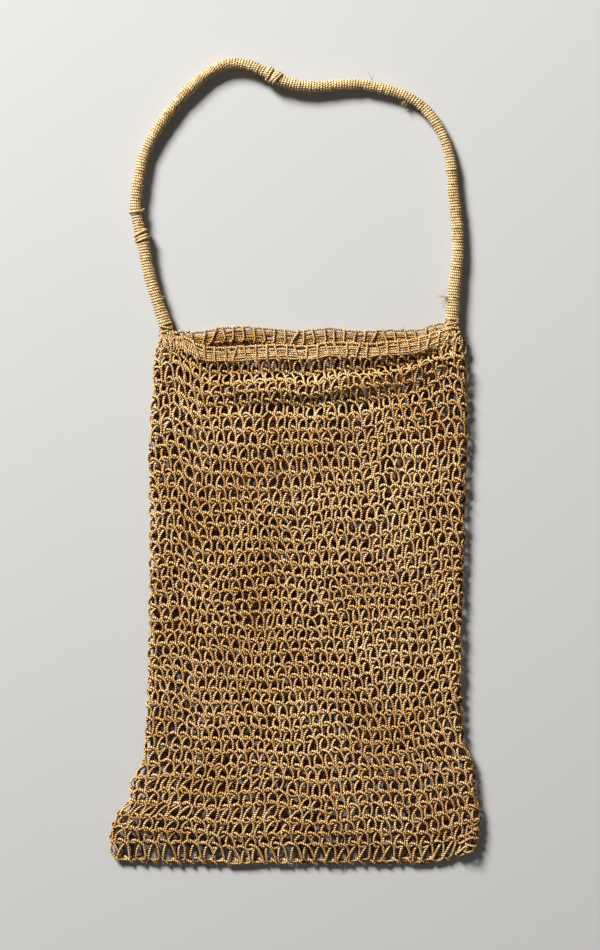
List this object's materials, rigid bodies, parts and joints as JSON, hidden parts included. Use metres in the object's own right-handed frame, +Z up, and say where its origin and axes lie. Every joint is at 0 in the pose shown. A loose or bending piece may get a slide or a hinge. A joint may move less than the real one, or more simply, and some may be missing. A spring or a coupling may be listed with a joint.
{
  "type": "string bag",
  "caption": "Flat looped string bag with a bound mouth band, a closed bottom edge and a long wound cord handle, lying on its back.",
  "frame": {"origin": "middle of the whole bag's outline, on the surface that it lies on", "axes": "+X across the bag to its right as seen from its front, +Y from the closed bottom towards the crest of the handle, +Z up from the surface through the back face to the front face"},
  "size_m": [0.3125, 0.6866, 0.0157],
  "materials": {
    "net_twine": "dry two-ply plant-fibre twine, straw golden, fibrous, uneven in tone",
    "band_twine": "the same twine laid in strands and closely bound, a little paler",
    "handle_twine": "tightly wound two-ply twine, golden at the crest, greyer down the left leg",
    "core_strands": "bare core strands of the handle, matt and slightly darker"
  },
  "bodies": {
    "root": {"net_bag": "net_twine", "mouth_band": "band_twine", "mouth_cord": "band_twine", "bottom_cord": "net_twine", "handle": "handle_twine", "handle_splice": "handle_twine", "upper_lashing": "handle_twine", "lower_lashing": "handle_twine", "left_root": "core_strands", "right_root": "core_strands"}
  },
  "joints": []
}
